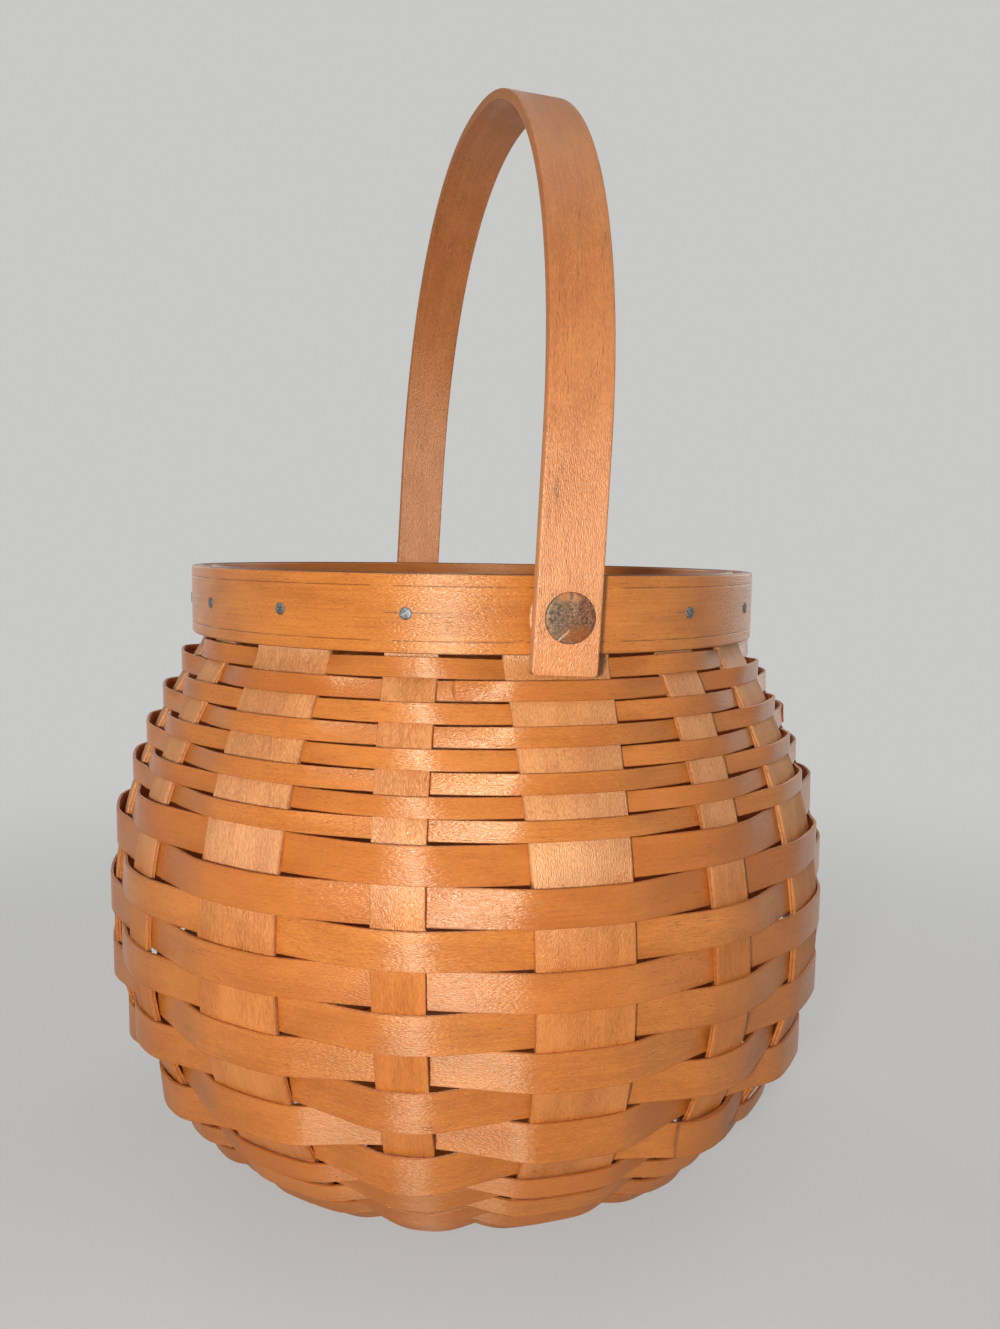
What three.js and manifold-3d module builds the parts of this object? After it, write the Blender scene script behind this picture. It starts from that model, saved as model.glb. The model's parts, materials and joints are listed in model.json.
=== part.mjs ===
import * as THREE from "three";
import { mergeVertices } from "three/addons/utils/BufferGeometryUtils.js";
import Module from "manifold-3d";

// Round splint-woven berry basket with one swing handle, in millimetres, +Z up.
// The origin is the middle of the footprint and the front rivet faces -Y.
// Azimuths start at the front and grow towards +X.

// Bowl: the wall is the middle surface of the uprights.
const bowlHeight = 236;
const rimRadius = 112.6;
const rimHeight = 25.4;
const outerBandThickness = 4.2;
const innerBandThickness = 2.5;
const bellyOverhang = 29.7;
const bellyWallHeight = 100.7;
const weaveEndInset = 6.6;
const footWallHeight = 2.4;
const flareAngle = 29.8;
const weaveEndRadius = 77;
const footWallRadius = weaveEndRadius - weaveEndInset;

// Splints: eight strips run from rim to rim under the base, four wide and four narrow.
const wideWidth = 30;
const narrowWidth = 16.3;
const splintThickness = 2.2;
const baseThickness = 0.8;

// Weavers: one closed ring for each row.
const narrowRow = 6.35;
const wideRow = 12;
const lowRow = 6.1;
const topNarrowRows = 8;
const wideRows = 9;
const lowNarrowRows = 10;
const weaverThickness = 1.3;
const rowGap = 0.3;
const rimGap = 1;
const weaveClearance = 0.25;

// Swing handle, measured from the rim's top edge and the basket's axis.
const handleRise = 180.2;
const handleShoulderRise = 35.5;
const legTaper = 0.7;
const handleBow = 2.17;
const handleWidth = 21.1;
const handleThickness = 3.9;
const handleLean = 2.6;
const pivotDrop = 13.2;
const legBelowPivot = 17;
const legCorner = 3.2;

// Hardware
const rivetHeadRadius = 7.8;
const rivetHeadThickness = 1.9;
const shankRadius = 3;
const peenRadius = 4.4;
const spacerRadius = 12;
const spacerThickness = 0.8;
const burrRadius = 6.6;
const burrThickness = 1;
const tackHeadRadius = 2;
const tackHeadThickness = 0.9;
const tackShankRadius = 0.6;
const tackDrop = 11.6;
const fitGap = 0.3;

const grooveInset = 4;
const grooveWidth = 0.9;
const grooveDepth = 0.35;
const bandChamfer = 0.5;

const woodColour = 0xc98a4b;
const rimColour = 0xc08043;
const handleColour = 0xbe7f42;
const copperColour = 0x6b5a45;
const steelColour = 0xb9b7b0;

const wasm = await Module();
wasm.setup();

const degree = Math.PI / 180;
const pitch = Math.PI / 8;
const rimBottom = bowlHeight - rimHeight;
const rimWallRadius = rimRadius - outerBandThickness - fitGap - splintThickness / 2;
const bellyWallRadius = rimRadius + bellyOverhang;
const pivotHeight = bowlHeight - pivotDrop;

// The legs stand off the rim by a spacer; their outer faces close in a little up to the shoulder.
const spacerSeat = rimRadius + fitGap;
const legSeat = spacerSeat + spacerThickness + fitGap;
const handlePivotRadius = legSeat + handleThickness;
const handleShoulderRadius = handlePivotRadius - legTaper;

const clamp01 = (x) => Math.min(1, Math.max(0, x));
// Distance from the axis to a flat strip whose edges lie on a circle.
const chordRadius = (radius, half) => Math.sqrt(radius * radius - half * half);

function cubic(points, t) {
  const s = 1 - t;
  const weights = [s * s * s, 3 * s * s * t, 3 * s * t * t, t * t * t];
  return [0, 1].map((axis) =>
    weights.reduce((sum, w, i) => sum + w * points[i][axis], 0),
  );
}

// The wall as [radius, height]: a flare from the rim to the belly, then a curve to the foot.
const flareTop = rimBottom - 1;
const flareLength = flareTop - bellyWallHeight;
const flarePull = 0.388;
const bellyPullUp = 0.42;
const bellyPullDown = 0.424;
const footPull = 0.53;
const upperCurve = [
  [rimWallRadius, flareTop],
  [
    rimWallRadius + flarePull * flareLength * Math.sin(flareAngle * degree),
    flareTop - flarePull * flareLength * Math.cos(flareAngle * degree),
  ],
  [bellyWallRadius, bellyWallHeight + bellyPullUp * flareLength],
  [bellyWallRadius, bellyWallHeight],
];
const lowerCurve = [
  [bellyWallRadius, bellyWallHeight],
  [bellyWallRadius, bellyWallHeight - bellyPullDown * (bellyWallHeight - footWallHeight)],
  [footWallRadius + footPull * (bellyWallRadius - footWallRadius), footWallHeight],
  [footWallRadius, footWallHeight],
];
const wallSteps = 160;
const wallPoints = [];
for (let i = 0; i <= wallSteps; i++) wallPoints.push(cubic(upperCurve, i / wallSteps));
for (let i = 1; i <= wallSteps; i++) wallPoints.push(cubic(lowerCurve, i / wallSteps));
const wallArcs = [0];
for (let i = 1; i < wallPoints.length; i++) {
  const [r0, z0] = wallPoints[i - 1];
  const [r1, z1] = wallPoints[i];
  wallArcs.push(wallArcs[i - 1] + Math.hypot(r1 - r0, z1 - z0));
}

// Point and slope of the wall at a length measured down from the rim.
// The slope is the inward angle from vertical, negative where the wall flares out.
function wallAt(arc) {
  let i = wallArcs.findIndex((a) => a >= arc);
  if (i < 1) i = arc <= 0 ? 1 : wallArcs.length - 1;
  const [r0, z0] = wallPoints[i - 1];
  const [r1, z1] = wallPoints[i];
  const t = (arc - wallArcs[i - 1]) / (wallArcs[i] - wallArcs[i - 1]);
  return {
    r: r0 + (r1 - r0) * t,
    z: z0 + (z1 - z0) * t,
    slope: Math.atan2(r0 - r1, z0 - z1),
  };
}

// A weaver stands upright until the wall turns under by more than leanStart, then tips with it.
const leanStart = 22 * degree;
const leanCatchUp = 18 * degree;
const leanCatchUpSpan = 50 * degree;
function leanOf(slope) {
  const lag = leanStart - leanCatchUp * clamp01((slope - leanStart) / leanCatchUpSpan);
  return Math.max(0, slope - lag);
}

// Rows are stacked down the wall; one scale makes the last one end at weaveEndRadius.
const rowHeights = [
  ...Array(topNarrowRows).fill(narrowRow),
  ...Array(wideRows).fill(wideRow),
  ...Array(lowNarrowRows).fill(lowRow),
];
function stackRows(scale) {
  const rows = [];
  for (const nominal of rowHeights) {
    const height = nominal * scale;
    const last = rows[rows.length - 1];
    const reach = last ? (last.height + height) / 2 + rowGap : height / 2 + rimGap;
    const start = last ? last.arc : 0;
    const from = last || { r: rimWallRadius, z: rimBottom, lean: 0 };
    let arc = start + reach;
    let at = wallAt(arc);
    for (let pass = 0; pass < 6; pass++) {
      const tip = (leanOf(at.slope) + from.lean) / 2;
      const along = (from.r - at.r) * Math.sin(tip) + (from.z - at.z) * Math.cos(tip);
      arc += (reach - along) / Math.cos(at.slope - tip);
      at = wallAt(arc);
    }
    rows.push({ ...at, arc, height, lean: leanOf(at.slope) });
  }
  return rows;
}
const arcAtEnd = wallArcs[wallPoints.findLastIndex(([r]) => r > weaveEndRadius)];
let lowScale = 0.6;
let highScale = 1.5;
for (let pass = 0; pass < 30; pass++) {
  const middle = (lowScale + highScale) / 2;
  const last = stackRows(middle).pop();
  if (last.arc + last.height / 2 > arcAtEnd) highScale = middle;
  else lowScale = middle;
}
const rows = stackRows(lowScale);

// Middle line of an upright from the rim's top to the end of the weave.
const splintTopInset = 0.6;
const wallStationStep = 16;
const stationCount = Math.round(arcAtEnd / wallStationStep);
const uprightLine = [
  [rimWallRadius, bowlHeight - splintTopInset],
  [rimWallRadius, rimBottom - 1],
];
for (let i = 1; i <= stationCount; i++) {
  const at = wallAt((arcAtEnd * i) / stationCount);
  uprightLine.push([at.r, at.z]);
}

// Both faces of a strip that follows a line, mitred at its bends; +1 is the outer face.
function faceLine(line, thicknesses, side) {
  return line.map((point, i) => {
    const before = line[Math.max(0, i - 1)];
    const after = line[Math.min(line.length - 1, i + 1)];
    const into = Math.atan2(point[1] - before[1], point[0] - before[0]);
    const out = Math.atan2(after[1] - point[1], after[0] - point[0]);
    const first = i === 0 ? out : into;
    const second = i === line.length - 1 ? into : out;
    const bend = Math.atan2(Math.sin(second - first), Math.cos(second - first)) / 2;
    const shift = (side * thicknesses[i]) / 2 / Math.cos(bend);
    const heading = first + bend;
    return [point[0] - shift * Math.sin(heading), point[1] + shift * Math.cos(heading)];
  });
}

// How far a weaver's middle stands off the wall to clear an upright on the given side.
const uprightThickness = uprightLine.map(() => splintThickness);
const faces = {
  1: faceLine(uprightLine, uprightThickness, 1),
  [-1]: faceLine(uprightLine, uprightThickness, -1),
};
function standOff(row, side, up, out) {
  const seen = faces[side].map(([r, z]) => ({
    along: (r - row.r) * up[0] + (z - row.z) * up[1],
    off: side * ((r - row.r) * out[0] + (z - row.z) * out[1]),
  }));
  let far = 0;
  for (let i = 1; i < seen.length; i++) {
    const [a, b] = [seen[i - 1], seen[i]];
    for (const edge of [-row.height / 2, row.height / 2, a.along, b.along]) {
      const t = (edge - a.along) / (b.along - a.along);
      const within = t >= 0 && t <= 1 && Math.abs(edge) <= row.height / 2;
      if (within) far = Math.max(far, a.off + (b.off - a.off) * t);
    }
  }
  return side * (far + weaveClearance + weaverThickness / 2);
}

// Inside an upright, a weaver on the flare lies back against the wall.
function weaverProfile(row, side) {
  const lean = side > 0 ? row.lean : Math.min(row.lean, row.slope);
  const up = [Math.sin(lean), Math.cos(lean)];
  const out = [Math.cos(lean), -Math.sin(lean)];
  const offset = standOff(row, side, up, out);
  const corner = (h, t) => [
    row.r + out[0] * (offset + t) + up[0] * h,
    row.z + out[1] * (offset + t) + up[1] * h,
  ];
  const h = row.height / 2;
  const t = weaverThickness / 2;
  return [corner(h, t), corner(-h, t), corner(-h, -t), corner(h, -t)];
}

// The foot of the weave and the lowest splint both stand on this level.
const lastRow = rows[rows.length - 1];
const floorLevel = Math.min(...weaverProfile(lastRow, 1).map((p) => p[1]));

// Geometry from equal cross-sections, closed into a ring or capped at both ends.
function sweep(sections, ring) {
  const size = sections[0].length;
  const count = sections.length;
  const index = [];
  const spans = ring ? count : count - 1;
  for (let i = 0; i < spans; i++) {
    const a = i * size;
    const b = ((i + 1) % count) * size;
    for (let k = 0; k < size; k++) {
      const m = (k + 1) % size;
      index.push(a + k, b + k, b + m, a + k, b + m, a + m);
    }
  }
  if (!ring) {
    const end = (count - 1) * size;
    for (let k = 1; k < size - 1; k++) {
      index.push(0, k, k + 1);
      index.push(end, end + k + 1, end + k);
    }
  }
  const geometry = new THREE.BufferGeometry();
  geometry.setAttribute(
    "position",
    new THREE.Float32BufferAttribute(sections.flat().flatMap((p) => p), 3),
  );
  geometry.setIndex(index);
  return faceOutward(geometry);
}

function faceOutward(geometry) {
  const p = geometry.attributes.position;
  const index = geometry.index.array;
  const [a, b, c] = [0, 1, 2].map(() => new THREE.Vector3());
  let volume = 0;
  for (let i = 0; i < index.length; i += 3) {
    a.fromBufferAttribute(p, index[i]);
    b.fromBufferAttribute(p, index[i + 1]);
    c.fromBufferAttribute(p, index[i + 2]);
    volume += a.dot(b.cross(c));
  }
  if (volume < 0) geometry.setIndex(Array.from(index).reverse());
  return geometry;
}

function toSolid(geometry) {
  const bare = geometry.clone();
  bare.deleteAttribute("normal");
  bare.deleteAttribute("uv");
  const merged = mergeVertices(bare, 1e-4);
  return new wasm.Manifold(
    new wasm.Mesh({
      numProp: 3,
      vertProperties: merged.attributes.position.array,
      triVerts: new Uint32Array(merged.index.array),
    }),
  );
}

function fromSolid(solid) {
  const mesh = solid.getMesh();
  const geometry = new THREE.BufferGeometry();
  geometry.setAttribute("position", new THREE.BufferAttribute(mesh.vertProperties, 3));
  geometry.setIndex(new THREE.BufferAttribute(mesh.triVerts, 1));
  return geometry;
}

// Cuts round holes whose axes lie across the basket's axis.
function drill(geometry, holes) {
  let solid = toSolid(geometry);
  for (const { azimuth, height, radius, from, to, sides } of holes) {
    const tool = new THREE.CylinderGeometry(radius, radius, to - from, sides);
    tool.translate(0, (from + to) / 2, 0);
    tool.rotateZ(azimuth + Math.PI);
    tool.translate(0, 0, height);
    solid = solid.subtract(toSolid(tool));
  }
  return fromSolid(solid);
}

const basket = new THREE.Group();
basket.name = "berry_basket";
basket.position.z = -floorLevel;

function addPiece(parent, name, geometry, colour, roughness, metalness) {
  geometry.computeVertexNormals();
  const material = new THREE.MeshStandardMaterial({ color: colour, roughness, metalness });
  material.name = name + "_finish";
  const mesh = new THREE.Mesh(geometry, material);
  mesh.name = name;
  parent.add(mesh);
  return mesh;
}

// Hoops of the rim: the outer one is scored with a groove near each edge.
function hoop(profile, segments) {
  const sections = [];
  for (let i = 0; i < segments; i++) {
    const azimuth = (2 * Math.PI * i) / segments;
    sections.push(
      profile.map(([r, z]) => [r * Math.sin(azimuth), -r * Math.cos(azimuth), z]),
    );
  }
  return sweep(sections, true);
}

const groove = (height) => [
  [rimRadius, height + grooveWidth / 2],
  [rimRadius - grooveDepth, height],
  [rimRadius, height - grooveWidth / 2],
];
const outerBandInner = rimRadius - outerBandThickness;
const outerBandProfile = [
  [outerBandInner, bowlHeight],
  [rimRadius - bandChamfer, bowlHeight],
  [rimRadius, bowlHeight - bandChamfer],
  ...groove(bowlHeight - grooveInset),
  ...groove(rimBottom + grooveInset),
  [rimRadius, rimBottom + bandChamfer],
  [rimRadius - bandChamfer, rimBottom],
  [outerBandInner, rimBottom],
];
const splintInnerRadius = rimWallRadius - splintThickness / 2;
const innerBandOuter = chordRadius(splintInnerRadius, narrowWidth / 2) - fitGap;
const innerBandInner = innerBandOuter - innerBandThickness;
const innerBandProfile = [
  [innerBandInner, bowlHeight],
  [innerBandOuter, bowlHeight],
  [innerBandOuter, rimBottom + fitGap],
  [innerBandInner, rimBottom + fitGap],
];
const rivetAzimuths = [0, Math.PI];
const throughAll = [innerBandInner - 10, handlePivotRadius + 10];
const rivetHoles = rivetAzimuths.map((azimuth) => ({
  azimuth,
  height: pivotHeight,
  radius: shankRadius + fitGap,
  from: throughAll[0],
  to: throughAll[1],
  sides: 16,
}));

// Tacks stand over the uprights; those over wide ones sit a little off the middle.
const tackAside = 2.5 * degree;
const tackAzimuths = [];
for (let i = 0; i < 16; i++) {
  const wide = i % 2 === 0;
  const side = i < 8 ? 1 : -1;
  const aside = wide ? side * tackAside : 0;
  if (i % 8 !== 0) tackAzimuths.push(i * pitch + aside);
}
const tackHoles = tackAzimuths.map((azimuth) => ({
  azimuth,
  height: bowlHeight - tackDrop,
  radius: tackShankRadius + fitGap,
  from: outerBandInner - 2,
  to: rimRadius + 2,
  sides: 8,
}));
addPiece(
  basket,
  "rim_outer_band",
  drill(hoop(outerBandProfile, 64), [...rivetHoles, ...tackHoles]),
  rimColour,
  0.45,
  0,
);
addPiece(
  basket,
  "rim_inner_band",
  drill(hoop(innerBandProfile, 48), rivetHoles),
  rimColour,
  0.5,
  0,
);

// Splints cross under the base on levels of their own, then join the wall's line.
const crossingMargin = 1.5;
const levelReach =
  ((wideWidth / 2) * Math.cos(pitch) + narrowWidth / 2) / Math.sin(pitch) +
  crossingMargin;
const levelStep = baseThickness + fitGap;
function splintSections(width, level, pointsAcross) {
  const levelHeight = floorLevel + baseThickness / 2 + level * levelStep;
  const [endRadius, endHeight] = uprightLine[uprightLine.length - 1];
  const half = uprightLine.map(([r, z]) => [r, z]);
  const thickness = half.map(() => splintThickness);
  for (const t of [0.25, 0.5, 0.75, 1]) {
    const ease = t * t * (3 - 2 * t);
    half.push([
      endRadius + (levelReach - endRadius) * t,
      endHeight + (levelHeight - endHeight) * ease,
    ]);
    thickness.push(splintThickness + (baseThickness - splintThickness) * ease);
  }
  const line = [...half, ...half.slice().reverse().map(([r, z]) => [-r, z])];
  const thicknesses = [...thickness, ...thickness.slice().reverse()];
  const outer = faceLine(line, thicknesses, 1);
  const inner = faceLine(line, thicknesses, -1);
  const across = [...Array(pointsAcross).keys()].map(
    (k) => (k / (pointsAcross - 1) - 0.5) * width,
  );
  // On the wall a strip is curved about the basket's axis; under the base it is flat.
  const bent = ([x, z], y) => {
    const curl = clamp01((Math.abs(x) - levelReach) / (endRadius - levelReach));
    const round = Math.sign(x) * Math.sqrt(Math.max(0, x * x - y * y));
    return [y, -(x + (round - x) * curl), z];
  };
  return line.map((point, i) => [
    ...across.map((y) => bent(outer[i], y)),
    ...across
      .slice()
      .reverse()
      .map((y) => bent(inner[i], y)),
  ]);
}
for (let k = 0; k < 8; k++) {
  const wide = k < 4;
  const number = k % 4;
  const azimuth = (wide ? 2 * number : 2 * number + 1) * pitch;
  const sections = splintSections(wide ? wideWidth : narrowWidth, k, wide ? 3 : 2);
  const plain = sweep(sections, false);
  const geometry = k === 0 ? drill(plain, rivetHoles) : plain;
  const name = (wide ? "wide_splint_" : "narrow_splint_") + (number + 1);
  const mesh = addPiece(basket, name, geometry, woodColour, 0.5, 0);
  mesh.rotation.z = azimuth;
}

// Weavers: odd rows pass outside the narrow uprights, even rows outside the wide ones.
const edgeMargin = 0.6;
const wideReach = wideWidth / 2 + edgeMargin;
const narrowReach = narrowWidth / 2 + edgeMargin;
function weaverGeometry(row, outsideWide) {
  const overWide = weaverProfile(row, outsideWide ? 1 : -1);
  const overNarrow = weaverProfile(row, outsideWide ? -1 : 1);
  const sections = [];
  for (let k = 0; k < 8; k++) {
    const wideAt = 2 * k * pitch;
    const narrowAt = wideAt + pitch;
    const stations = [
      [wideAt, -wideReach, overWide],
      [wideAt, 0, overWide],
      [wideAt, wideReach, overWide],
      [narrowAt, -narrowReach, overNarrow],
      [narrowAt, narrowReach, overNarrow],
    ];
    for (const [azimuth, aside, profile] of stations) {
      sections.push(
        profile.map(([r, z]) => {
          const angle = azimuth + Math.asin(aside / r);
          return [r * Math.sin(angle), -r * Math.cos(angle), z];
        }),
      );
    }
  }
  return sweep(sections, true);
}
rows.forEach((row, i) => {
  const name = "weaver_" + String(i + 1).padStart(2, "0");
  addPiece(basket, name, weaverGeometry(row, i % 2 === 1), woodColour, 0.5, 0);
});

// Turned pieces are drawn with their axis along +Y, which points out of the basket.
function turned(profile, sides) {
  const geometry = new THREE.LatheGeometry(
    profile.map(([r, y]) => new THREE.Vector2(r, y)),
    sides,
  );
  geometry.deleteAttribute("normal");
  geometry.deleteAttribute("uv");
  return faceOutward(mergeVertices(geometry, 1e-4));
}
function washer(inner, outer, from, to, sides) {
  const loop = [
    [inner, from],
    [outer, from],
    [outer, to],
    [inner, to],
    [inner, from],
  ];
  return turned(loop, sides);
}

const headSeat = handlePivotRadius + fitGap;
const burrSeat = innerBandInner - fitGap - 0.2;
const peenSeat = burrSeat - burrThickness - fitGap;
const peenThickness = 1.4;
const rivetProfile = [
  [0, peenSeat - peenThickness],
  [peenRadius - 1, peenSeat - peenThickness],
  [peenRadius, peenSeat - 0.6],
  [peenRadius, peenSeat],
  [shankRadius, peenSeat],
  [shankRadius, headSeat],
  [rivetHeadRadius, headSeat],
  [rivetHeadRadius, headSeat + rivetHeadThickness - 0.6],
  [rivetHeadRadius - 0.7, headSeat + rivetHeadThickness - 0.1],
  [0, headSeat + rivetHeadThickness],
];
["front", "back"].forEach((end, i) => {
  const holder = new THREE.Group();
  holder.name = end + "_rivet_group";
  holder.position.z = pivotHeight;
  holder.rotation.z = rivetAzimuths[i] + Math.PI;
  basket.add(holder);
  addPiece(holder, end + "_rivet", turned(rivetProfile, 24), copperColour, 0.4, 0.9);
  const spacer = washer(
    shankRadius + fitGap,
    spacerRadius,
    spacerSeat,
    spacerSeat + spacerThickness,
    24,
  );
  addPiece(holder, end + "_spacer", spacer, rimColour, 0.6, 0);
  const burr = washer(
    shankRadius + fitGap,
    burrRadius,
    burrSeat - burrThickness,
    burrSeat,
    20,
  );
  addPiece(holder, end + "_burr", burr, copperColour, 0.4, 0.9);
});

const tackSeat = spacerSeat;
const tackProfile = [
  [0, rimRadius - outerBandThickness + fitGap],
  [tackShankRadius, rimRadius - outerBandThickness + 1],
  [tackShankRadius, tackSeat],
  [tackHeadRadius, tackSeat],
  [tackHeadRadius * 0.8, tackSeat + tackHeadThickness * 0.7],
  [0, tackSeat + tackHeadThickness],
];
tackAzimuths.forEach((azimuth, i) => {
  const name = "rim_tack_" + String(i + 1).padStart(2, "0");
  const tack = addPiece(basket, name, turned(tackProfile, 8), steelColour, 0.35, 0.9);
  tack.position.z = bowlHeight - tackDrop;
  tack.rotation.z = azimuth + Math.PI;
});

// Handle: drawn about its pivot axis, as [distance along Y, height above the pivot].
const handle = new THREE.Group();
handle.name = "handle_group";
handle.position.z = pivotHeight;
handle.rotation.y = handleLean * degree;
basket.add(handle);

const shoulder = pivotDrop + handleShoulderRise;
const apex = pivotDrop + handleRise;
const archSteps = 14;
const cornerCut = 1 - Math.SQRT1_2;
const legRows = [
  [-legBelowPivot, handleWidth / 2 - legCorner],
  [-legBelowPivot + legCorner * cornerCut, handleWidth / 2 - legCorner * cornerCut],
  [-legBelowPivot + legCorner, handleWidth / 2],
  [pivotDrop, handleWidth / 2],
];
const legSlope = (handlePivotRadius - handleShoulderRadius) / shoulder;
const frontLine = legRows.map(([z, half]) => ({
  y: -(handlePivotRadius - legSlope * Math.max(0, z)),
  z,
  half,
}));
for (let i = 0; i <= archSteps; i++) {
  const t = (Math.PI / 2) * (i / archSteps);
  frontLine.push({
    y: -handleShoulderRadius * Math.pow(Math.cos(t), 2 / handleBow),
    z: shoulder + (apex - shoulder) * Math.pow(Math.sin(t), 2 / handleBow),
    half: handleWidth / 2,
  });
}
frontLine[frontLine.length - 1].y = 0;
const backLine = frontLine
  .slice(0, -1)
  .reverse()
  .map(({ y, z, half }) => ({ y: -y, z, half }));
const handleLine = [...frontLine, ...backLine];
const outerLine = handleLine.map(({ y, z }) => [y, z]);
const doubled = outerLine.map(() => handleThickness * 2);
const innerLine = faceLine(outerLine, doubled, -1);
const edgeRound = 0.7;
const handleSections = handleLine.map(({ half }, i) => {
  const [outer, inner] = [outerLine[i], innerLine[i]];
  const between = (t) => [
    outer[0] + (inner[0] - outer[0]) * t,
    outer[1] + (inner[1] - outer[1]) * t,
  ];
  const share = edgeRound / handleThickness;
  const rim = [
    [half - edgeRound, 0],
    [half, share],
    [half, 1 - share],
    [half - edgeRound, 1],
  ];
  const loop = [...rim, ...rim.map(([x, t]) => [-x, t]).reverse()];
  return loop.map(([x, t]) => {
    const [y, z] = between(t);
    return [x, y, z];
  });
});
const handleHoles = rivetHoles.map((hole) => ({ ...hole, height: 0 }));
addPiece(
  handle,
  "handle",
  drill(sweep(handleSections, false), handleHoles),
  handleColour,
  0.45,
  0,
);

export default basket;
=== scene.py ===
import json
from math import cos, pi, radians, sin

import bpy
import numpy as np
from mathutils import Matrix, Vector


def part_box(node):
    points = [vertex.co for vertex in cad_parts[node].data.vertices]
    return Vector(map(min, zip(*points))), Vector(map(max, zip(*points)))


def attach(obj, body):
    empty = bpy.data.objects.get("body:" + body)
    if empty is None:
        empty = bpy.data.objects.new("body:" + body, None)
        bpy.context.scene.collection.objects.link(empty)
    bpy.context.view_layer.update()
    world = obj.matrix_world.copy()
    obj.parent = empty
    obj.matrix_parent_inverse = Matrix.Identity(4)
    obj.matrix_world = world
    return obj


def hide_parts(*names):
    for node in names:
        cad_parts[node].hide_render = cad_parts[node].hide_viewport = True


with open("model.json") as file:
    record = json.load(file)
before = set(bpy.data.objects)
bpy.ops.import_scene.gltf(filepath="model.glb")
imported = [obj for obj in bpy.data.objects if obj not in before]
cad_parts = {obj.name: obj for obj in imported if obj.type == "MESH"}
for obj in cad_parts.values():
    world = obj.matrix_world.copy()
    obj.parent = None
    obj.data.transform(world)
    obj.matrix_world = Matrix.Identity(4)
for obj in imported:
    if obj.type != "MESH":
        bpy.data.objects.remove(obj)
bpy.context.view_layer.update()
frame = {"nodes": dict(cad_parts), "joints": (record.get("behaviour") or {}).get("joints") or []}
nodes = frame["nodes"]
pivot = np.array(frame["joints"][0]["pos_m"])
mm = 0.001
upward = np.array([0.0, 0.0, 1.0])
sector = pi / 8  # from a wide upright to the narrow one beside it
print("frame loaded:", len(nodes), "solids")


# Reading shapes from the frame

def pointsOf(node):  # a solid's corners at rest, in metres
    mesh = nodes[node].data
    flat = np.empty(len(mesh.vertices) * 3, np.float32)
    mesh.vertices.foreach_get("co", flat)
    return flat.reshape(-1, 3).astype(float)


def distinct(points, step=0.02 * mm):  # each point once
    return np.unique(np.round(points / step).astype(int), axis=0) * step


def turnedAbout(points, azimuth):  # x out of the basket at the azimuth, y across, z up
    out = points[:, 0] * sin(azimuth) - points[:, 1] * cos(azimuth)
    across = points[:, 0] * cos(azimuth) + points[:, 1] * sin(azimuth)
    return np.c_[out, across, points[:, 2]]


def aboutPivot(points):  # distance from the line through both rivets
    return np.hypot(points[:, 0] - pivot[0], points[:, 2] - pivot[2])


# Meshes

def unit(vectors):  # each vector divided by its length
    return vectors / np.linalg.norm(vectors, axis=-1, keepdims=True)


def runOf(points):  # distance travelled along a row of points, closed back to the first
    steps = np.linalg.norm(np.diff(np.vstack([points, points[:1]]), axis=0), axis=1)
    return np.concatenate([[0], np.cumsum(steps)])


def roundedSection(half, thick, radius, flats, arc=4):
    # a strip's section as (across, out): a quarter circle, the flat face, a quarter circle and the middle
    # of the side, then the same turned half round
    corner = np.linspace(0, pi / 2, arc)
    margin = radius * 1.6  # keeps the face's own points clear of the corners
    face = np.c_[np.linspace(1, -1, flats) * (half - margin), np.full(flats, thick / 2)]
    quarter = np.c_[-np.sin(corner), np.cos(corner)] * radius + [radius - half, thick / 2 - radius]
    upper = np.vstack([quarter[::-1] * [-1, 1], face, quarter, [[-half, 0]]])
    return np.vstack([upper, -upper])


def smoothThrough(stations, spacing):
    # a cubic through each station whose tangent there joins its two neighbours
    chord = np.concatenate([[0], np.cumsum(np.linalg.norm(np.diff(stations[:, :2], axis=0), axis=1))])
    slope = np.gradient(stations, chord, axis=0)
    s = np.linspace(0, chord[-1], int(chord[-1] / spacing) + 2)
    k = np.clip(np.searchsorted(chord, s, side="right") - 1, 0, len(chord) - 2)
    width = (chord[k + 1] - chord[k])[:, None]
    t = (s - chord[k])[:, None] / width
    return (stations[k] * (2 * t**3 - 3 * t**2 + 1) + slope[k] * width * (t**3 - 2 * t**2 + t)
            + stations[k + 1] * (3 * t**2 - 2 * t**3) + slope[k + 1] * width * (t**3 - t**2))


def ripple(theta, seed, waves=(3, 5, 8)):  # the mean of a few waves round the ring, -1 to 1
    phase = np.random.default_rng(seed).uniform(0, 2 * pi, len(waves))
    return sum(np.sin(w * theta + p) for w, p in zip(waves, phase)) / len(waves)


def stripMarks(section, half, thick, seed, tone):
    # shares for the finish: 1 at the strip's edge and at its outer face, with the piece's own seed and tone
    return {"edgeShare": np.abs(section[:, 0]) / half, "plyShare": section[:, 1] / thick * 2,
            "pieceSeed": seed, "pieceTone": tone}


def place(name, mesh, finish, body, standsFor):
    # a piece that rides on a body and, except for the lapped ends, stands for a solid
    mesh.shade_smooth()
    mesh.materials.append(finish)
    piece = bpy.data.objects.new(name, mesh)
    bpy.context.scene.collection.objects.link(piece)
    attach(piece, body)
    if standsFor:
        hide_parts(*standsFor)


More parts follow.
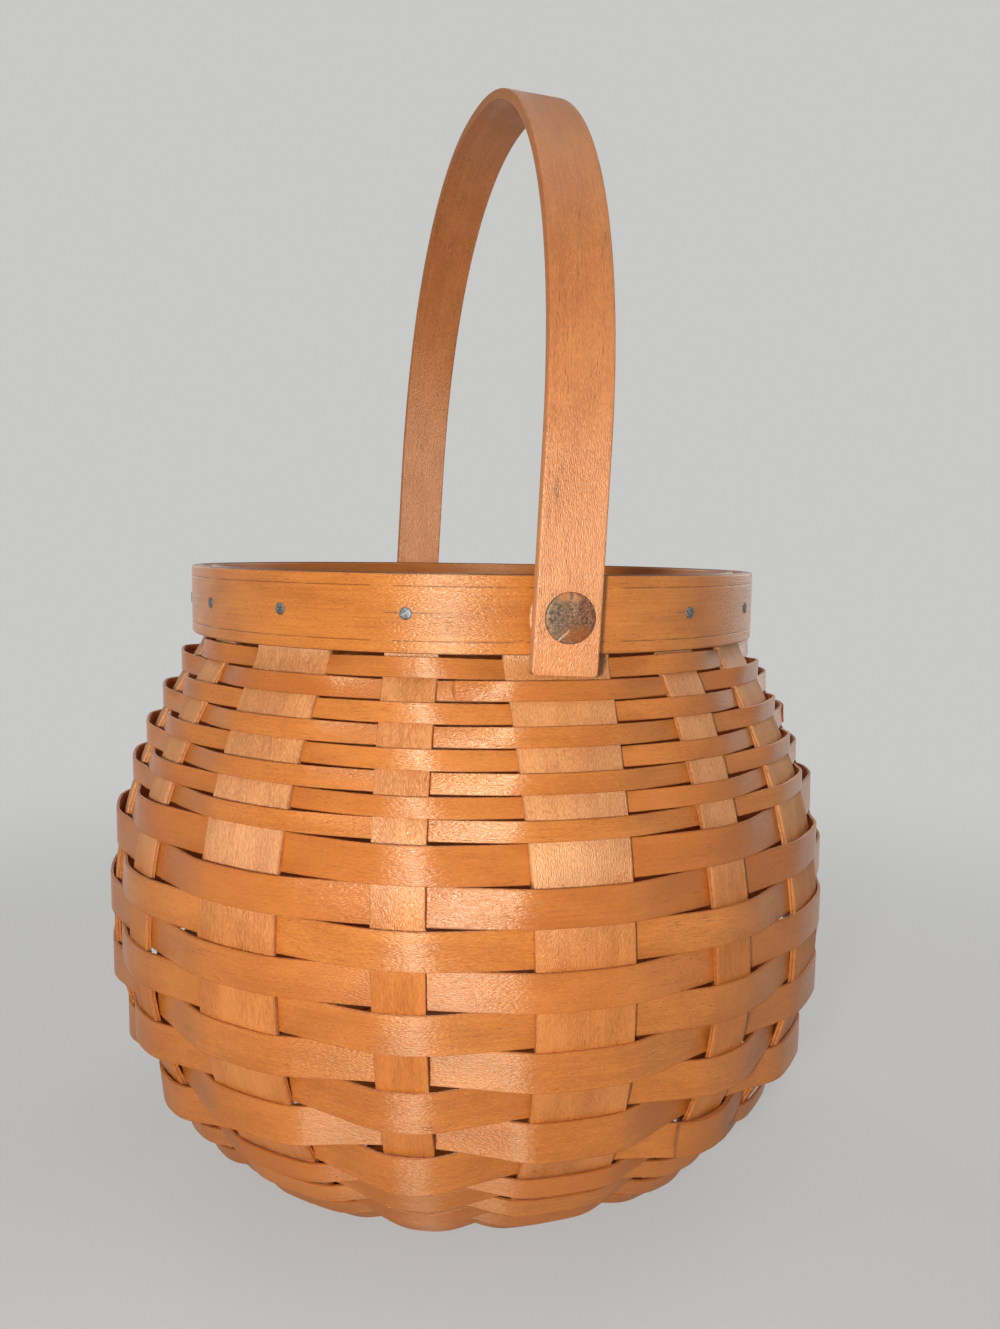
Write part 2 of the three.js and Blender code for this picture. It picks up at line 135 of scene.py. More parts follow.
def skin(name, grid, closed, along, around, marks, finish, body="basket", standsFor=()):
    # a tube of quads over a grid of points: rows run along the piece, columns round its section. Its faces
    # are turned over where the volume, the sum of a . (b x c + c x d) over all quads, comes out negative
    rows, columns = grid.shape[:2]
    i, j = np.meshgrid(np.arange(rows if closed else rows - 1), np.arange(columns), indexing="ij")
    corners = ((0, 0), (1, 0), (1, 1), (0, 1))
    quads = np.stack([(i + di) % rows * columns + (j + dj) % columns for di, dj in corners], -1)
    quads = quads.reshape(-1, 4)
    uv = np.stack([np.stack([along[i + di], around[j + dj]], -1) for di, dj in corners], 2)
    uv = uv.reshape(-1, 2)
    points = grid.reshape(-1, 3)
    a, b, c, d = (points[quads[:, k]] for k in range(4))
    volume = np.einsum("ij,ij->", a, np.cross(b, c)) + np.einsum("ij,ij->", a, np.cross(c, d))
    faces = quads.tolist()
    if not closed:  # a face over each end, with a fan from its middle added to the volume
        faces += [list(range(columns))[::-1], list(range((rows - 1) * columns, rows * columns))]
        capUv = np.c_[np.linspace(0, 4 * mm, columns), around[:-1]]
        uv = np.vstack([uv, capUv[::-1], capUv])
        for end, sign in ((grid[0], -1), (grid[-1], 1)):
            fan = np.cross(end, np.roll(end, -1, 0)) * sign
            volume += np.einsum("ij,j->", fan, end.mean(0))
    mesh = bpy.data.meshes.new(name)
    mesh.from_pydata(points, [], faces)
    layer = mesh.uv_layers.new(name="strip")
    layer.data.foreach_set("uv", uv.astype(np.float32).ravel())
    for key, values in marks.items():
        share = mesh.attributes.new(key, "FLOAT", "POINT")
        flat = np.broadcast_to(values, (rows, columns)).astype(np.float32).ravel()
        share.data.foreach_set("value", flat)
    mesh.update()
    if volume < 0:
        mesh.flip_normals()
    place(name, mesh, finish, body, standsFor)


# the uprights on both sides of the front one stand further round, most of all under the rim
gather = {"span": radians(100),
          "left": {"most": radians(4.4), "low": 35 * mm, "high": 210 * mm, "power": 1.6},
          "right": {"most": radians(5.0), "low": 125 * mm, "high": 211 * mm, "power": 2.0}}


def gatherTurn(azimuth, height):
    # most * sin(pi * azimuth / span) * (share of the height) ** power, to the left and to the right
    turn = 0
    for side, sign in ((gather["left"], -1), (gather["right"], 1)):
        share = np.clip((height - side["low"]) / (side["high"] - side["low"]), 0, 1)
        wave = np.sin(pi * np.clip(sign * azimuth / gather["span"], 0, 1))
        turn = turn + sign * side["most"] * wave * share ** side["power"]
    return turn


def gathered(points):  # points turned about the axis by gatherTurn
    azimuth = np.arctan2(points[..., 0], -points[..., 1])
    turned = azimuth + gatherTurn(azimuth, points[..., 2])
    radius = np.hypot(points[..., 0], points[..., 1])
    return np.stack([radius * np.sin(turned), -radius * np.cos(turned), points[..., 2]], -1)


# Materials

class Wire:  # a socket that takes part in arithmetic
    def __init__(self, board, socket):
        self.board, self.socket = board, socket

    def maths(self, operation, *others):
        inputs = dict(enumerate((self,) + others))
        return self.board.add("ShaderNodeMath", {"operation": operation}, inputs)

    def __add__(self, other):
        return self.maths("ADD", other)

    def __mul__(self, other):
        return self.maths("MULTIPLY", other)

    def __sub__(self, other):
        return self.maths("SUBTRACT", other)

    def __rsub__(self, other):
        return self.board.add("ShaderNodeMath", {"operation": "SUBTRACT"}, {0: other, 1: self})

    __radd__, __rmul__ = __add__, __mul__

    def ramp(self, low, high):  # 0 at low, 1 at high, smooth between and level beyond
        ends = (0.0, 1.0) if low < high else (1.0, 0.0)
        return self.board.add("ShaderNodeMapRange", {"interpolation_type": "SMOOTHSTEP"},
                              {"Value": self, "From Min": min(low, high), "From Max": max(low, high),
                               "To Min": ends[0], "To Max": ends[1]})

    def near(self, middle, full, gone):  # 1 at the distance full from the middle, 0 at the distance gone
        return (self - middle).maths("ABSOLUTE").ramp(gone, full)


class Board:  # one material's node tree
    def __init__(self, name):
        self.material = bpy.data.materials.new(name)
        self.material.use_nodes = True
        self.tree = self.material.node_tree
        self.shader = self.tree.nodes["Principled BSDF"]

    def add(self, kind, settings=None, inputs=None, out=0):
        node = self.tree.nodes.new(kind)
        for key, value in (settings or {}).items():
            setattr(node, key, value)
        self.feed(node, inputs or {})
        return Wire(self, node.outputs[out])

    def feed(self, node, inputs):
        for key, value in inputs.items():
            if isinstance(value, Wire):
                self.tree.links.new(value.socket, node.inputs[key])
            elif isinstance(value, tuple) and len(value) == 3 and node.inputs[key].type == "RGBA":
                node.inputs[key].default_value = value + (1,)
            else:
                node.inputs[key].default_value = value

    def mix(self, share, first, second):
        return self.add("ShaderNodeMix", {"data_type": "RGBA"}, {0: share, 6: first, 7: second}, out=2)

    def mark(self, name):
        return self.add("ShaderNodeAttribute", {"attribute_name": name}, out="Fac")

    def spot(self):  # where a point lies, in metres
        return self.add("ShaderNodeTexCoord", out="Object")

    def split(self, vector):  # x, y and z
        node = self.add("ShaderNodeSeparateXYZ", None, {0: vector}).socket.node
        return [Wire(self, output) for output in node.outputs]

    def noise(self, at, scale, detail, roughness=0.5):
        return self.add("ShaderNodeTexNoise", None,
                        {"Vector": at, "Scale": scale, "Detail": detail, "Roughness": roughness})

    def bump(self, strength, distance, height):
        return self.add("ShaderNodeBump", None,
                        {"Strength": strength, "Distance": distance, "Height": height})

    def finish(self, **sockets):  # the shader's sockets, each named with _ for a space
        self.feed(self.shader, {key.replace("_", " "): value for key, value in sockets.items()})
        return self.material


def oval(x, z, middleX, middleZ, halfX, halfZ):  # 0 in the middle, 1 on the outline of an ellipse
    return (((x - middleX) * (1 / halfX)).maths("POWER", 2.0)
            + ((z - middleZ) * (1 / halfZ)).maths("POWER", 2.0))


# the wood's noises: cells a metre along and across the grain, detail, and a shift that keeps them apart
grains = {"tone": (9, 45, 2, 0.0), "patch": (60, 110, 2, 29.0), "streak": (35, 900, 3, 3.0),
          "fibre": (420, 2300, 2, 7.0), "speckle": (800, 3000, 1, 13.0), "pore": (260, 2900, 1, 17.0),
          "poreArea": (30, 160, 1, 23.0), "wander": (24, 0, 2, 31.0), "breaks": (90, 0, 2, 37.0)}


def woodFinish(name, look):
    # colour runs from deep to pale by the sum of the grains, each times its weight in the look, and is then
    # darkened in the pores, with painted shade along edges, along plies, in scored lines and in knots
    board = Board(name)
    along, across = board.split(board.add("ShaderNodeUVMap", {"uv_map": "strip"}, out="UV"))[:2]
    seed, lot = board.mark("pieceSeed"), board.mark("pieceTone")
    edge, ply = board.mark("edgeShare"), board.mark("plyShare")

    def grain(kind):  # -0.5 to 0.5
        perAlong, perAcross, detail, shift = grains[kind]
        at = board.add("ShaderNodeCombineXYZ", None,
                       {0: along * perAlong, 1: across * perAcross, 2: seed * 41.0 + shift})
        return board.noise(at, 1.0, detail, 0.55) - 0.5

    tone = grain("tone") + grain("patch") * 0.7
    streak, fibre, speckle = grain("streak"), grain("fibre"), grain("speckle")
    pores = grain("pore").ramp(0.14, 0.24) * grain("poreArea").ramp(-0.06, 0.14)
    shade = tone * look["tone"] + streak * look["streak"] + fibre * look["fibre"] + speckle * look["speckle"]
    colour = board.mix((shade + 0.5).ramp(0.0, 1.0), look["deep"], look["pale"])
    colour = board.mix(lot * look["lot"], colour, look["ruddy"])
    # painted shade: the uprights turn deeper and lose speckle below the widest rows, standing in for the
    # light falling off and the sheen fading towards the bottom
    if "lower" in look:  # richer and smoother below the widest rows
        height = board.split(board.spot())[2] + tone * 0.03
        lowShadeShare = height.ramp(look["lowerTop"], look["lowerTop"] - 50 * mm) * (lot * 0.3 + 0.7)
        calm = (shade - speckle * (look["speckle"] * 0.6) + 0.5).ramp(0.0, 1.0)
        colour = board.mix(lowShadeShare, colour, board.mix(calm, *look["lower"]))
    colour = board.mix(pores * look["pores"], colour, look["pore"])
    # painted shade along each strip's edges, standing in for the dark gaps where strips meet; on the rim it
    # also draws the dark line of the band's frayed edge
    edgeShadeAndLine = edge.ramp(look["edgeFrom"], 0.995)
    colour = board.mix(edgeShadeAndLine * look["edge"], colour, look["edgeColour"])
    dent = pores
    if "plyLine" in look:  # the two plies part in a dark line along each side face
        line = ply.near(0.0, 0.0, look["plyLine"]) * edge.ramp(0.985, 0.998)
        colour = board.mix(line * 0.75, colour, look["pore"])
    if "score" in look:  # a scored line near both edges of the outer face, wavy and broken
        line = (edge + grain("wander") * look["scoreWander"]).near(look["score"], 0.0, look["scoreHalf"])
        line = line * grain("breaks").ramp(-0.16, 0.02) * ply.ramp(0.6, 0.9)
        colour = board.mix(line * 0.8, colour, look["pore"])
        dent = dent + line * 2.0
    if "knots" in look:  # dark marks on the front
        x, y, z = (wire * (1 / mm) for wire in board.split(board.spot()))
        front = y.ramp(-60, -80)
        for *outline, dark in look["knots"]:
            ragged = oval(x, z, *outline) + fibre * 1.6 + streak
            colour = board.mix(ragged.ramp(1.2, 0.1) * front * dark, colour, look["pore"])
    rough = speckle * 0.5 + fibre * 0.3 + edgeShadeAndLine * 0.3 + look["rough"]
    height = speckle * look["glint"] + fibre * 0.6 + streak * 0.5 - dent * 0.8
    return board.finish(Base_Color=colour, Roughness=rough, Normal=board.bump(1.0, look["relief"], height),
                        IOR=1.5, Specular_IOR_Level=look["gloss"], Specular_Tint=(1.0, 0.97, 0.74),
                        Anisotropic=look["stretch"], Anisotropic_Rotation=look["sheenTurn"])


# a knot is x, height and its two radii in millimetres, and how dark it is
honey = {"deep": (0.41, 0.115, 0.017), "pale": (0.64, 0.212, 0.040), "ruddy": (0.46, 0.116, 0.016),
         "pore": (0.17, 0.047, 0.010), "edgeColour": (0.34, 0.095, 0.016), "edgeFrom": 0.90, "edge": 0.30,
         "tone": 1.1, "streak": 0.55, "fibre": 0.6, "speckle": 1.1, "lot": 0.5, "pores": 0.5,
         "rough": 0.43, "gloss": 0.85, "glint": 2.0, "relief": 0.10 * mm,
         "stretch": 0.95, "sheenTurn": 0.25}  # sheen runs across the fibres, which lie round the basket
uprightLook = {"deep": (0.46, 0.160, 0.043), "pale": (0.76, 0.328, 0.114),
               "lower": ((0.42, 0.110, 0.015), (0.66, 0.215, 0.040)), "lowerTop": 165 * mm,
               "edgeFrom": 0.95, "edge": 0.2, "plyLine": 0.28, "speckle": 1.6, "lot": 0.1, "pores": 0.55,
               "rough": 0.45, "gloss": 0.75, "glint": 2.2, "relief": 0.12 * mm,
               "stretch": 0.8, "sheenTurn": 0.0, "knots": [(-16.8, 142.8, 0.8, 1.5, 0.85)]}
rimLook = {"deep": (0.46, 0.126, 0.014), "pale": (0.72, 0.238, 0.036), "edgeColour": (0.13, 0.040, 0.011),
           "edgeFrom": 0.972, "edge": 0.95, "plyLine": 0.14, "tone": 1.0, "streak": 0.9, "pores": 0.8,
           "score": 0.685, "scoreHalf": 0.022, "scoreWander": 0.03, "glint": 2.4, "gloss": 1.0,
           "knots": [(-48.3, 223.0, 9.5, 0.22, 0.9), (49.6, 223.0, 7.5, 0.2, 0.9)]}
handleLook = {"deep": (0.53, 0.160, 0.042), "pale": (0.80, 0.288, 0.090), "edgeFrom": 0.95, "edge": 0.35,
              "tone": 1.0, "speckle": 1.2, "pores": 0.7, "rough": 0.44, "gloss": 0.9, "glint": 1.9,
              "relief": 0.13 * mm, "stretch": 0.8, "sheenTurn": 0.0,
              "knots": [(-4.6, 261.5, 1.1, 4.5, 0.5), (-7.2, 254.0, 0.8, 2.8, 0.35),
                        (-3.0, 268.5, 0.6, 2.0, 0.35), (3.5, 330.0, 0.4, 2.4, 0.4)]}
weaverWood = woodFinish("weaverWood", honey)
uprightWood = woodFinish("uprightWood", {**honey, **uprightLook})
rimWood = woodFinish("rimWood", {**honey, **rimLook})
spacerWood = woodFinish("spacerWood", {**honey, "speckle": 0.6})
handleWood = woodFinish("handleWood", {**honey, **handleLook})


def copperFinish():
    # patina over the head: grey-brown to the left, purple-brown to the right, bare copper low and at the top
    board = Board("agedCopper")
    moved = board.add("ShaderNodeMapping", None,
                      {"Vector": board.spot(), "Location": (0, 0, -float(pivot[2]))})
    x, z = (wire * (1 / mm) for wire in board.split(moved)[::2])  # millimetres from the head's middle
    cloud = board.noise(moved, 230.0, 3.0) - 0.5
    fine = board.noise(moved, 900.0, 4.0) - 0.5
    grit = board.noise(moved, 2600.0, 3.0) - 0.5
    ragged = cloud * 3.0 + fine * 3.6 + grit * 3.0
    left, right = (0.165, 0.112, 0.066), (0.165, 0.060, 0.032)
    colour = board.mix((x + cloud * 16 + fine * 14).ramp(-3.0, 4.5), left, right)
    colour = board.mix((grit + fine * 0.8).ramp(0.0, 0.14) * 0.75, colour, (0.46, 0.215, 0.095))
    colour = board.mix((fine + cloud * 0.5).ramp(-0.02, -0.16) * 0.65, colour, (0.050, 0.028, 0.020))
    bare = (oval(x, z, 2.0, -5.3, 5.0, 2.6) + ragged * 1.3).ramp(1.5, 0.0)
    colour = board.mix(bare * 0.85, colour, (0.43, 0.130, 0.036))
    top = (oval(x, z, -0.6, 6.6, 3.6, 1.7) + ragged * 1.4).ramp(1.4, 0.1)
    parted = x.near(0.1, 0.9, 0.2)  # a dark line runs down through the upper patch
    colour = board.mix(top * parted * 0.85, colour, (0.60, 0.220, 0.075))
    rubbed = (x + cloud * 9 + fine * 3).near(0.8, 0.1, 1.1) * z.ramp(-2.5, 3.0)
    colour = board.mix(rubbed * (grit + 0.5).ramp(0.35, 0.6) * 0.5, colour, (0.66, 0.36, 0.20))
    scratch = (x - z * 0.9 + cloud * 3).near(2.6, 0.1, 0.7) * z.ramp(-3.0, -4.2) * x.ramp(1.0, -1.0)
    colour = board.mix(scratch * 0.75, colour, (0.74, 0.43, 0.25))
    bump = board.bump(0.6, 0.3 * mm, cloud * 1.2 + fine * 0.8 + grit * 0.35)
    return board.finish(Base_Color=colour, Metallic=0.35 + bare * 0.4, Roughness=0.5 + fine * 0.5,
                        Normal=bump)


def steelFinish():  # grey steel, mottled, with brown spots
    board = Board("tackSteel")
    spot = board.spot()
    mottle, spots = board.noise(spot, 1400.0, 3.0), board.noise(spot, 520.0, 2.0)
    colour = board.mix(mottle.ramp(0.35, 0.7), (0.100, 0.106, 0.106), (0.28, 0.305, 0.315))
    colour = board.mix(spots.ramp(0.54, 0.66) * 0.7, colour, (0.13, 0.075, 0.045))
    return board.finish(Base_Color=colour, Metallic=0.7, Roughness=0.42 + mottle * 0.3,
                        Normal=board.bump(0.4, 0.1 * mm, mottle))


copper, steel = copperFinish(), steelFinish()
print("finishes ready")


# Weavers

weaver = {"stations": 512, "spare": 3, "thickness": 1.1 * mm, "edgeRadius": 0.2 * mm, "flats": 5, "arc": 3,
          "wideSpan": 0.1, "narrowFrom": 0.64,  # shares of a sector where the solid is read
          "widePart": 16 * mm, "narrowPart": 8 * mm,  # half of the stretch that lies on an upright
          "rounding": 5.5 * mm, "roundingSteps": 15,  # half of the stretch that a bend is averaged over
          "hug": 0.3 * mm,  # how much closer it lies to the uprights than the solid does
          "rise": 0.12 * mm, "sway": 0.12 * mm,  # its waves up and down, and in and out
          "lobes": (1.0 * mm, 1.9 * mm),  # how far it sags over a wide and over a narrow upright
          "lobeReturn": 1.6,  # behind the next upright it stands higher by this less one, times the lobe
          "lobeHeights": (4 * mm, 25 * mm, 70 * mm, 120 * mm), "lobeShares": (0, 1, 0.8, 0),
          "wider": 0.13 * mm, "widerLow": 0.35 * mm,
          "widerBehind": 0.8 * mm, "behind": (65, 105),  # from one azimuth to the other, off the front
          "firstWave": 100, "grainStep": 1.7, "seedStep": 0.37}  # these keep the rows' grain and waves apart


def sectionOf(corners):
    # a strip's four corners as (radius, height): their middle, the direction it leans and half its width
    middle = corners.mean(0)
    up = np.linalg.svd(corners - middle)[2][0]
    up = up if up[1] + up[0] > 0 else -up
    return middle, up, np.abs((corners - middle) @ up).max()


def weaverShape(node):
    # the strip's section where it passes over and where it passes behind, and whether it's over the wides
    points = pointsOf(node)
    azimuth = np.arctan2(points[:, 0], -points[:, 1])
    fromWide = np.abs((azimuth + sector) % (2 * sector) - sector)
    profile = np.c_[np.hypot(points[:, 0], points[:, 1]), points[:, 2]]
    wide = sectionOf(distinct(profile[fromWide < weaver["wideSpan"] * sector]))
    narrow = sectionOf(distinct(profile[fromWide > weaver["narrowFrom"] * sector]))
    overWide = wide[0][0] > narrow[0][0]
    return (wide, narrow, True) if overWide else (narrow, wide, False)


def weaverGrid(node, theta, seed, thick=weaver["thickness"], lift=0.0, narrower=0.0):
    # the strip lies on each upright it passes over and runs straight behind the next, with eased bends:
    # it dips by 1 - (1 - run) ** 2, averaged over the rounding
    over, behind, overWide = weaverShape(node)
    radius = over[0][0]
    flat = weaver["widePart" if overWide else "narrowPart"] / radius
    spread = np.linspace(-1, 1, weaver["roundingSteps"])[:, None] * weaver["rounding"] / radius
    shift = 0 if overWide else sector
    fromOver = np.abs((theta + spread + shift + sector) % (2 * sector) - sector)
    run = np.clip((fromOver - flat) / (sector - flat), 0, 1)
    dip = (1 - (1 - run) ** 2).mean(0)[:, None]
    middle = over[0] + dip * (behind[0] - over[0])
    middle[:, 0] += weaver["hug"] * (2 * dip[:, 0] - 1) + weaver["sway"] * ripple(theta, seed)
    middle[:, 1] += weaver["rise"] * ripple(theta, seed + 50)
    # low on the bowl the strip sags where it passes over an upright and rises where it passes behind
    sag = np.interp(over[0][1], weaver["lobeHeights"], weaver["lobeShares"])
    middle[:, 1] -= weaver["lobes"][0 if overWide else 1] * sag * (1 - weaver["lobeReturn"] * dip[:, 0])
    lean = unit(over[1] + dip * (behind[1] - over[1]))
    radial = np.c_[np.sin(theta), -np.cos(theta), np.zeros_like(theta)]
    centre = radial * middle[:, :1] + upward * middle[:, 1:]
    up = radial * lean[:, :1] + upward * lean[:, 1:]
    out = unit(np.cross(unit(np.gradient(centre, theta, axis=0)), up))
    out *= np.sign(np.einsum("ij,ij->i", out, radial))[:, None]
    half = over[2] + weaver["wider"] + weaver["widerLow"] * sag - narrower
    section = roundedSection(half, thick, weaver["edgeRadius"], weaver["flats"], weaver["arc"])
    centre = centre + out * lift
    fromFront = np.degrees(np.abs((theta + pi) % (2 * pi) - pi))
    growth = 1 + np.interp(fromFront, weaver["behind"], (0, weaver["widerBehind"] / half))
    wider = up * growth[:, None]
    grid = centre[:, None] + wider[:, None] * section[None, :, :1] + out[:, None] * section[None, :, 1:]
    return grid, section, centre, half


weaverNames = sorted(n for n in nodes if n.startswith("weaver_"))
toneOf = np.random.default_rng(12).uniform(0, 1, 80)
for k, node in enumerate(weaverNames):
    seam = pi + (sector if weaverShape(node)[2] else 0)
    spare = weaver["spare"]  # stations past both ends, for the slopes at the seam
    theta = np.arange(weaver["stations"]) * 2 * pi / weaver["stations"] + seam
    theta = np.concatenate([theta[-spare:] - 2 * pi, theta, theta[:spare] + 2 * pi])
    grid, section, centre, half = weaverGrid(node, theta, weaver["firstWave"] + k)
    grid, centre = grid[spare:-spare], centre[spare:-spare]
    marks = stripMarks(section, half, weaver["thickness"], k * weaver["seedStep"], toneOf[k])
    skin(node + "_strip", gathered(grid), True, runOf(centre) + k * weaver["grainStep"], runOf(section),
         marks, weaverWood, standsFor=[node])
print("weavers:", len(weaverNames))

# ends that show where a weaver laps over its own start, each with its row, its azimuth and how far it runs
lap = {"thick": 0.6 * mm, "narrower": 0.1 * mm, "stations": 60, "roundedBy": 0.9 * mm,
       "seedShift": 0.2, "firstTone": 30,
       "ends": [(2, -15.6, 38), (5, 63, 24), (9, 152, 30), (12, 226, 22), (15, 106, 26), (7, -148, 26),
                (17, 17, 26)]}
for row, start, span in lap["ends"]:
    node = weaverNames[row - 1]
    theta = np.linspace(radians(start), radians(start + span), lap["stations"])
    lift = weaver["thickness"] / 2 + lap["thick"] / 2
    grid, section, centre, half = weaverGrid(node, theta, weaver["firstWave"] + row - 1, lap["thick"], lift,
                                             lap["narrower"])
    cut = 1 - (section[:, 0] / half) ** 2  # the middle of the end reaches furthest
    grid[0] -= unit(centre[1] - centre[0]) * cut[:, None] * lap["roundedBy"]
    marks = stripMarks(section, half, lap["thick"], row * weaver["seedStep"] + lap["seedShift"],
                       toneOf[row + lap["firstTone"]])
    skin(node + "_lap", gathered(grid), False, runOf(centre) + row, runOf(section), marks, weaverWood)
print("lapped ends:", len(lap["ends"]))


# Uprights, each one strip from rim to rim under the floor

splint = {"wideGrowth": 1.055, "spacing": 3.5 * mm, "thicknessShare": 0.94, "edgeRadius": 0.3 * mm,
          "flats": 11, "arc": 3, "aboveBend": 5 * mm, "crossingSteps": 25,
          "clearOfAxis": 20 * mm, "sortHeight": 110 * mm, "wideTone": 0.2, "narrowTone": 0.7,
          "toneSpread": 0.3, "firstTone": 40, "firstSeed": 5, "seedStep": 0.41, "grainStep": 2.3}


def splintLine(node, azimuth):
    # stations down one side as (distance from the axis, height, thickness), read off the strip's edge, whose
    # points are put in order by their angle about a point half way up the axis
    local = turnedAbout(pointsOf(node), azimuth)
    half = local[:, 1].max()
    onEdge = (local[:, 1] > half - 0.01 * mm) & (local[:, 0] > splint["clearOfAxis"])
    edge = distinct(local[onEdge][:, [0, 2]])
    edge = edge[np.argsort(np.arctan2(edge[:, 0], edge[:, 1] - splint["sortHeight"]))]
    edge = edge[:len(edge) // 2 * 2]
    first, second = edge[0::2], edge[1::2]
    middle, thick = (first + second) / 2, np.linalg.norm(first - second, axis=1)
    flatReach, wallReach = middle[-1, 0], middle[-5, 0]
    curl = np.clip((middle[:, 0] - flatReach) / (wallReach - flatReach), 0, 1)
    middle[:, 0] += curl * (np.hypot(middle[:, 0], half) - middle[:, 0])
    stations = np.c_[middle, thick]
    stations[0, 2] = stations[1, 2] = stations[2, 2]
    straight = stations[1] + [0, splint["aboveBend"], 0]
    straight[0] = stations[0, 0]
    return np.vstack([stations[:1], straight, stations[1:]]), half, flatReach, wallReach


splintNames = [("wide_splint_%d" % (k + 1), 2 * k * sector) for k in range(4)]
splintNames += [("narrow_splint_%d" % (k + 1), (2 * k + 1) * sector) for k in range(4)]
for k, (node, azimuth) in enumerate(splintNames):
    stations, half, flatReach, wallReach = splintLine(node, azimuth)
    isWide = node.startswith("wide")
    half *= splint["wideGrowth"] if isWide else 1
    side = smoothThrough(stations, splint["spacing"])
    crossing = np.tile(side[-1], (splint["crossingSteps"] - 2, 1))
    crossing[:, 0] *= np.linspace(1, -1, splint["crossingSteps"])[1:-1]
    line = np.vstack([side, crossing, side[::-1] * [-1, 1, 1]])
    thick = line[:, 2:] * splint["thicknessShare"]
    run = unit(np.gradient(line[:, :2], axis=0))
    out = np.c_[-run[:, 1], run[:, 0]]
    nominal = stations[0, 2]
    section = roundedSection(half, nominal, splint["edgeRadius"], splint["flats"], splint["arc"])
    section[:, 1] /= nominal
    across = np.broadcast_to(section[:, 0], (len(line), len(section)))
    x = line[:, :1] + out[:, :1] * section[None, :, 1] * thick
    z = line[:, 1:2] + out[:, 1:] * section[None, :, 1] * thick
    # on the wall the strip is bowed: each point keeps the distance from the axis that its middle has
    curl = np.clip((np.abs(line[:, :1]) - flatReach) / (wallReach - flatReach), 0, 1)
    bowed = np.sign(x) * np.sqrt(np.maximum(0, x * x - across**2))
    x = x + (bowed - x) * curl
    grid = np.stack([x * sin(azimuth) + across * cos(azimuth),
                     -x * cos(azimuth) + across * sin(azimuth), z], -1)
    around = np.concatenate([[0], np.cumsum(np.abs(np.diff(section[:, 0])) + 0.1 * mm), [0]])
    around[-1] = around[-2] + 0.1 * mm
    tone = splint["wideTone" if isWide else "narrowTone"]
    tone += toneOf[k + splint["firstTone"]] * splint["toneSpread"]
    marks = stripMarks(section, half, 1.0, splint["firstSeed"] + k * splint["seedStep"], tone)
    along = np.append(runOf(line[:, :2])[:-1], 0) + k * splint["grainStep"]
    skin(node + "_strip", gathered(grid), False, along, around, marks, uprightWood,
         standsFor=[node])
print("splints:", len(splintNames))


# Rim

rim = {"steps": 288, "flats": 41, "groove": 0.12 * mm, "grooveHalf": 0.5 * mm, "grooveInset": 4 * mm,
       "round": 0.7 * mm, "waver": 0.10 * mm}


def hoopOf(node, name, seed, grooved, tone):
    low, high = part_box(node)
    outer = high.x
    points = pointsOf(node)
    inner = np.hypot(points[:, 0], points[:, 1]).min()
    half, thick = (high.z - low.z) / 2, outer - inner
    theta = np.arange(rim["steps"]) * 2 * pi / rim["steps"]
    section = roundedSection(half, thick, rim["round"], rim["flats"])
    radius = (outer + inner) / 2 + section[:, 1] + rim["waver"] * ripple(theta, seed)[:, None]
    if grooved:  # shallow scored lines near both edges, on the outer face only
        for line in (half - rim["grooveInset"], rim["grooveInset"] - half):
            bite = np.clip(1 - np.abs(section[:, 0] - line) / rim["grooveHalf"], 0, 1)
            radius = radius - rim["groove"] * bite * (section[:, 1] > 0)
    height = (low.z + high.z) / 2 + section[:, 0]
    grid = np.stack([radius * np.sin(theta)[:, None], -radius * np.cos(theta)[:, None],
                     np.broadcast_to(height, radius.shape)], -1)
    skin(name, grid, True, np.append(theta, 2 * pi) * outer, runOf(section),
         stripMarks(section, half, thick, seed, tone), rimWood, standsFor=[node])


hoopOf("rim_outer_band", "rim_outer_hoop", seed=3, grooved=True, tone=0.15)
hoopOf("rim_inner_band", "rim_inner_hoop", seed=4, grooved=False, tone=0.6)
print("rim hoops done")


# Handle

strap = {"width": 21.2 * mm, "frontFootWider": 1.2 * mm, "widerPower": 1.5, "thick": 3.9 * mm,
         "edgeRadius": 0.8 * mm, "flats": 9, "arc": 6, "rise": 180.2 * mm, "shoulder": 35.5 * mm,
         "bow": 2.17,  # the arch's exponent
         "taper": 0.7 * mm, "pivotDrop": 13.2 * mm, "belowPivot": 18.3 * mm,
         "footCorner": 1.3 * mm, "lean": radians(2.6), "standOff": 5.3 * mm,
         "footSteps": 9, "legSteps": 16, "archSteps": 90, "seed": 9.3, "tone": 0.2}


def strapLine():
    # up the front leg, over a superellipse and down the back, as (distance along y, height over the pivot)
    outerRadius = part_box("rim_outer_band")[1].x + strap["standOff"]
    shoulder, apex = strap["pivotDrop"] + strap["shoulder"], strap["pivotDrop"] + strap["rise"]
    corner = np.linspace(0, pi / 2, strap["footSteps"])
    foot = -strap["belowPivot"] + strap["footCorner"] * (1 - np.cos(corner))
    leg = np.concatenate([foot, np.linspace(foot[-1], shoulder, strap["legSteps"])[1:]])
    legOut = -(outerRadius - strap["taper"] * np.clip(leg / shoulder, 0, 1))
    t = np.linspace(0, pi / 2, strap["archSteps"])[1:]
    arch = np.c_[(strap["taper"] - outerRadius) * np.cos(t) ** (2 / strap["bow"]),
                 shoulder + (apex - shoulder) * np.sin(t) ** (2 / strap["bow"])]
    arch[-1, 0] = 0
    front = np.vstack([np.c_[legOut, leg], arch])
    return np.vstack([front, front[-2::-1] * [-1, 1]])


